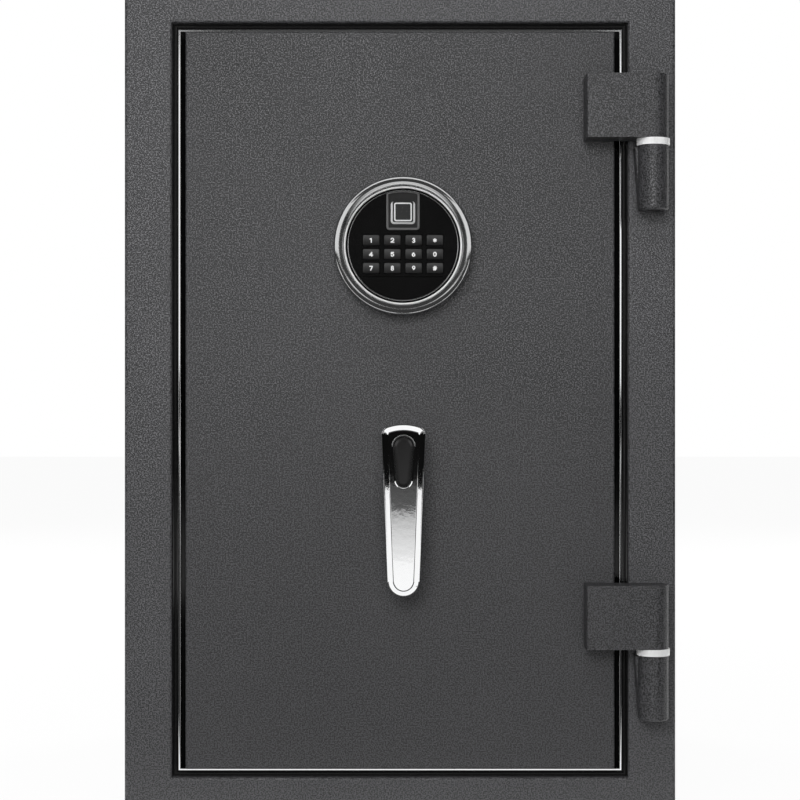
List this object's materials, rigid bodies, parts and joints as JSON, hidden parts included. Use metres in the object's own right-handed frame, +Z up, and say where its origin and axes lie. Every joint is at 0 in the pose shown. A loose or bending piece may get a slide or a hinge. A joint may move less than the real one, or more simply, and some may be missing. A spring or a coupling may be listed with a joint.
{
  "type": "fireproof safe",
  "caption": "Free-standing fire-resistant steel safe with a hinged insulated door, keypad and fingerprint lock, lever handle, sliding bolts and an inner shelf.",
  "frame": {"origin": "centre of the cabinet's underside", "axes": "+Z up, -Y out of the door's front, +X towards the hinges"},
  "size_m": [0.43, 0.4653, 0.67],
  "materials": {
    "powder_coat": "textured powder coat",
    "frame_black": "gloss",
    "seal_rubber": "matt",
    "fire_filling": "cast filling",
    "liner_paint": "satin",
    "panel_plastic": "fine grain",
    "zinc_steel": "zinc plated",
    "polished_chrome": "mirror polish",
    "satin_chrome": "satin, dark",
    "bright_steel": "turned",
    "face_black": "gloss",
    "housing_plastic": "moulded",
    "sensor_frame": "satin",
    "sensor_glass": "gloss",
    "key_plastic": "satin",
    "brass": "machined",
    "board_green": "satin",
    "battery_wrap": "printed sleeve, bare",
    "red_plastic": "gloss"
  },
  "bodies": {
    "cabinet": {"outer_shell": "powder_coat", "back_panel": "powder_coat", "cabinet_insulation": "fire_filling", "inner_liner": "liner_paint", "door_jamb": "liner_paint", "door_frame_trim": "frame_black", "strike_plates": "zinc_steel", "hinge_barrel_upper": "powder_coat", "hinge_barrel_lower": "powder_coat", "hinge_pins": "bright_steel", "hinge_washers": "bright_steel", "shelf_supports": "zinc_steel"},
    "shelf": {"shelf": "liner_paint"},
    "door": {"door_skin": "powder_coat", "door_edge_frame": "frame_black", "door_pan": "zinc_steel", "door_insulation": "fire_filling", "door_seal": "seal_rubber", "inner_panel": "panel_plastic", "hinge_leaf_upper": "powder_coat", "hinge_leaf_lower": "powder_coat", "dog_bolts": "bright_steel", "bolt_guides": "zinc_steel", "spindle_bushes": "brass", "keypad_ring": "satin_chrome", "keypad_inner_ring": "polished_chrome", "keypad_face": "face_black", "keypad_housing": "housing_plastic", "circuit_board": "board_green", "sensor_surround": "sensor_frame", "sensor_window": "sensor_glass", "power_contacts": "brass", "lock_solenoid": "zinc_steel", "battery_box": "panel_plastic", "batteries": "battery_wrap", "panel_screws": "bright_steel"},
    "handle": {"handle_lever": "polished_chrome", "handle_spindle": "bright_steel", "lock_cylinder": "brass", "cam_disc": "zinc_steel"},
    "key_barrel": {"key_plug": "brass"},
    "keyhole_cap": {"keyhole_cap": "face_black"},
    "bolts": {"bolt_bar": "zinc_steel", "locking_bolts": "bright_steel"},
    "power_flap": {"power_flap": "face_black"},
    "plunger": {"solenoid_plunger": "zinc_steel"},
    "reset_button": {"reset_button": "red_plastic"},
    "battery_cover": {"battery_cover": "panel_plastic"},
    "key_1": {"key_1": "key_plastic"},
    "key_2": {"key_2": "key_plastic"},
    "key_3": {"key_3": "key_plastic"},
    "key_star": {"key_star": "key_plastic"},
    "key_4": {"key_4": "key_plastic"},
    "key_5": {"key_5": "key_plastic"},
    "key_6": {"key_6": "key_plastic"},
    "key_0": {"key_0": "key_plastic"},
    "key_7": {"key_7": "key_plastic"},
    "key_8": {"key_8": "key_plastic"},
    "key_9": {"key_9": "key_plastic"},
    "key_hash": {"key_hash": "key_plastic"}
  },
  "joints": [
    {"name": "door_swing", "type": "hinge", "parent": "cabinet", "child": "door", "pos_m": [0.1955, -0.229, 0.335], "axis": [0, 0, 1], "range_deg": [0, 175]},
    {"name": "handle_turn", "type": "hinge", "parent": "door", "child": "handle", "pos_m": [0.0027, -0.2, 0.2877], "axis": [0, 1, 0], "range_deg": [0, 90]},
    {"name": "bolt_slide", "type": "slide", "parent": "door", "child": "bolts", "axis": [-1, 0, 0], "range_m": [0, 0.024]},
    {"name": "key_turn", "type": "hinge", "parent": "handle", "child": "key_barrel", "pos_m": [0.0027, -0.24, 0.2877], "axis": [0, 1, 0], "range_deg": [0, 90]},
    {"name": "cap_pull", "type": "slide", "parent": "handle", "child": "keyhole_cap", "axis": [0, -1, 0], "range_m": [0, 0.012]},
    {"name": "plunger_slide", "type": "slide", "parent": "door", "child": "plunger", "axis": [-1, 0, 0], "range_m": [0, 0.006]},
    {"name": "flap_open", "type": "hinge", "parent": "door", "child": "power_flap", "pos_m": [0.0023, -0.229, 0.4289], "axis": [-1, 0, 0], "range_deg": [0, 90]},
    {"name": "reset_press", "type": "slide", "parent": "door", "child": "reset_button", "axis": [0, -1, 0], "range_m": [0, 0.002], "stiffness_N_per_m": 250, "springref_m": -0.001},
    {"name": "battery_cover_open", "type": "hinge", "parent": "door", "child": "battery_cover", "pos_m": [0.02, -0.1438, 0.155], "axis": [1, 0, 0], "range_deg": [0, 100]},
    {"name": "shelf_slide", "type": "slide", "parent": "cabinet", "child": "shelf", "axis": [0, -1, 0], "range_m": [-0.025, 0.025]},
    {"name": "press_1", "type": "slide", "parent": "door", "child": "key_1", "axis": [0, 1, 0], "range_m": [0, 0.001], "stiffness_N_per_m": 400, "springref_m": -0.0005},
    {"name": "press_2", "type": "slide", "parent": "door", "child": "key_2", "axis": [0, 1, 0], "range_m": [0, 0.001], "stiffness_N_per_m": 400, "springref_m": -0.0005},
    {"name": "press_3", "type": "slide", "parent": "door", "child": "key_3", "axis": [0, 1, 0], "range_m": [0, 0.001], "stiffness_N_per_m": 400, "springref_m": -0.0005},
    {"name": "press_star", "type": "slide", "parent": "door", "child": "key_star", "axis": [0, 1, 0], "range_m": [0, 0.001], "stiffness_N_per_m": 400, "springref_m": -0.0005},
    {"name": "press_4", "type": "slide", "parent": "door", "child": "key_4", "axis": [0, 1, 0], "range_m": [0, 0.001], "stiffness_N_per_m": 400, "springref_m": -0.0005},
    {"name": "press_5", "type": "slide", "parent": "door", "child": "key_5", "axis": [0, 1, 0], "range_m": [0, 0.001], "stiffness_N_per_m": 400, "springref_m": -0.0005},
    {"name": "press_6", "type": "slide", "parent": "door", "child": "key_6", "axis": [0, 1, 0], "range_m": [0, 0.001], "stiffness_N_per_m": 400, "springref_m": -0.0005},
    {"name": "press_0", "type": "slide", "parent": "door", "child": "key_0", "axis": [0, 1, 0], "range_m": [0, 0.001], "stiffness_N_per_m": 400, "springref_m": -0.0005},
    {"name": "press_7", "type": "slide", "parent": "door", "child": "key_7", "axis": [0, 1, 0], "range_m": [0, 0.001], "stiffness_N_per_m": 400, "springref_m": -0.0005},
    {"name": "press_8", "type": "slide", "parent": "door", "child": "key_8", "axis": [0, 1, 0], "range_m": [0, 0.001], "stiffness_N_per_m": 400, "springref_m": -0.0005},
    {"name": "press_9", "type": "slide", "parent": "door", "child": "key_9", "axis": [0, 1, 0], "range_m": [0, 0.001], "stiffness_N_per_m": 400, "springref_m": -0.0005},
    {"name": "press_hash", "type": "slide", "parent": "door", "child": "key_hash", "axis": [0, 1, 0], "range_m": [0, 0.001], "stiffness_N_per_m": 400, "springref_m": -0.0005}
  ],
  "couplings": [
    {"joint": "bolt_slide", "follows": "handle_turn", "m_per_rad": 0.015279}
  ]
}
